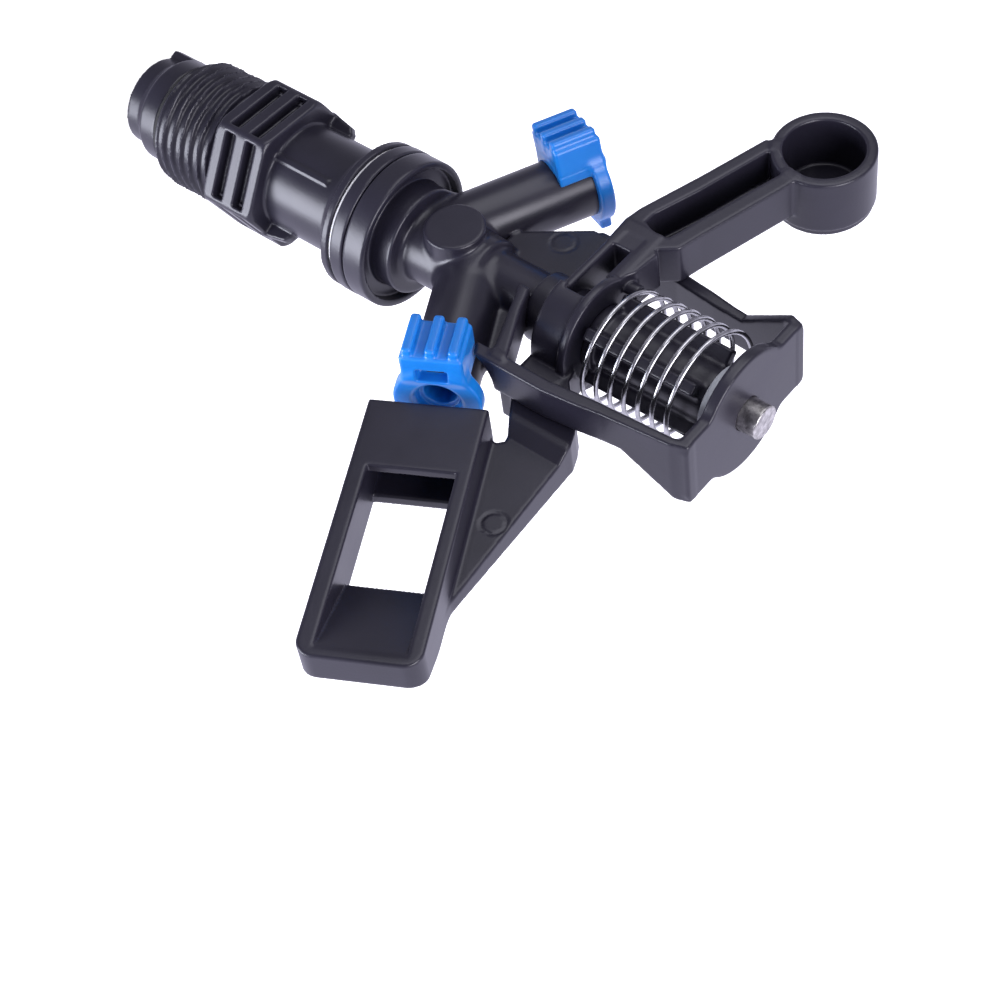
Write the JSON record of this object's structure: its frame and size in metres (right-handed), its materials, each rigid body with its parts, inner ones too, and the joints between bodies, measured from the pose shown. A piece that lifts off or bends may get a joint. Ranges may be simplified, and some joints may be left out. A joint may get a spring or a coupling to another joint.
{
  "type": "impact sprinkler head",
  "caption": "Rocker-arm impact sprinkler head: threaded inlet nut, rotating nozzle head with bridge, fulcrum pin, torsion spring, swinging arm with drive vane and counterweight cup.",
  "frame": {"origin": "on the sprinkler's turning axis, at the shoulder where the inlet thread meets the hexagon", "axes": "+Z along the turning axis from the inlet thread to the fulcrum pin's tip, +X towards the drive vane at rest, -X towards the counterweight cup"},
  "size_m": [0.1141, 0.023, 0.1153],
  "materials": {
    "black_plastic": "satin moulded",
    "blue_plastic": "semi-gloss moulded",
    "spring_steel": "bright drawn wire",
    "pin_steel": "ground shank, sheared end",
    "white_washer": "smooth",
    "grey_plastic": "smooth",
    "seal_rubber": "matt"
  },
  "bodies": {
    "inlet": {"inlet_nut": "black_plastic", "inlet_seal": "seal_rubber", "bearing_spring": "spring_steel", "bearing_washer": "white_washer"},
    "head": {"bearing_tube": "black_plastic", "dust_ring": "black_plastic", "head_body": "black_plastic", "drive_nozzle": "blue_plastic", "spreader_nozzle": "blue_plastic", "fulcrum_pin": "pin_steel", "thrust_collar": "black_plastic", "retaining_ring": "grey_plastic"},
    "arm": {"rocker_arm": "black_plastic", "spring_core": "black_plastic", "torsion_spring": "spring_steel"}
  },
  "joints": [
    {"name": "head_rotation", "type": "hinge", "parent": "inlet", "child": "head", "pos_m": [0, 0, 0.025], "axis": [0, 0, 1], "continuous": true},
    {"name": "arm_swing", "type": "hinge", "parent": "head", "child": "arm", "pos_m": [0, 0, 0.07], "axis": [0, 0, 1], "range_deg": [0, 115], "stiffness_Nm_per_rad": 0.036, "springref_deg": -20.05, "deforming": ["torsion_spring"]}
  ]
}
